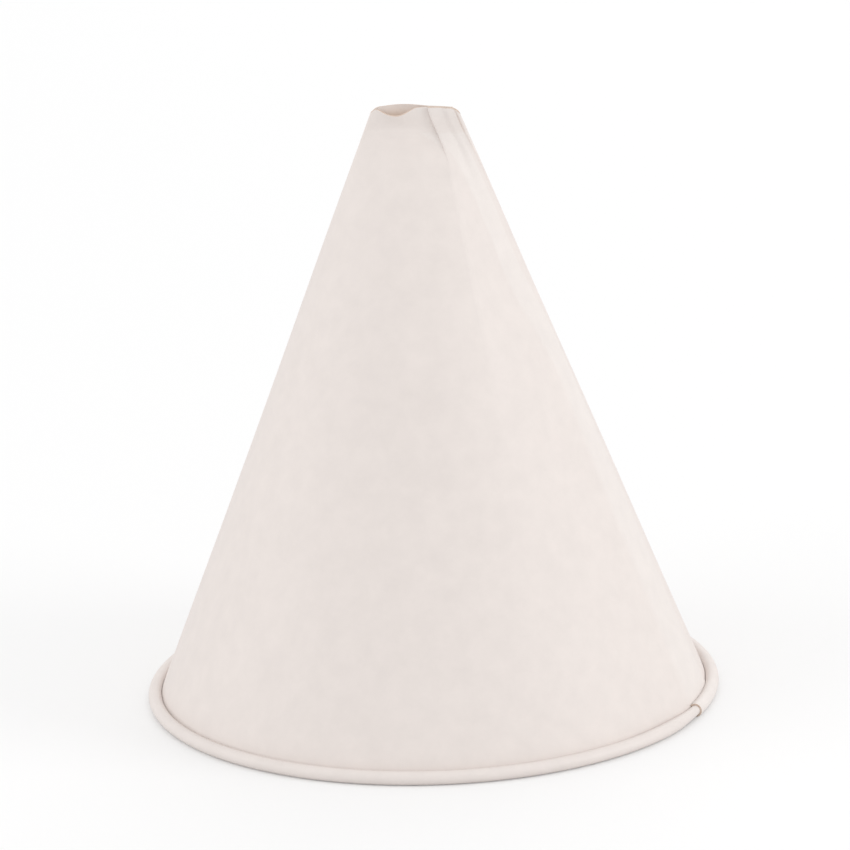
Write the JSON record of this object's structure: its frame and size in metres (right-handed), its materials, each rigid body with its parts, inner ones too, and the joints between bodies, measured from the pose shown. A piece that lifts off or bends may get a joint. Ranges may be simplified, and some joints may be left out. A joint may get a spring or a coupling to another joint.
{
  "type": "cone paper cup",
  "caption": "White rolled rim paper cone cup, resting on its mouth, with a lapped side seam and a flattened, folded tip.",
  "frame": {"origin": "centre of the mouth, on the plane that the rolled rim stands on", "axes": "+Z along the cone's axis from the mouth to the tip, -Y towards the side that the folded tip opens on, +X to its right"},
  "size_m": [0.1002, 0.1002, 0.1065],
  "materials": {
    "paper": "white cup paper with a thin satin coating"
  },
  "bodies": {
    "root": {"paper_cup": "paper"}
  },
  "joints": []
}
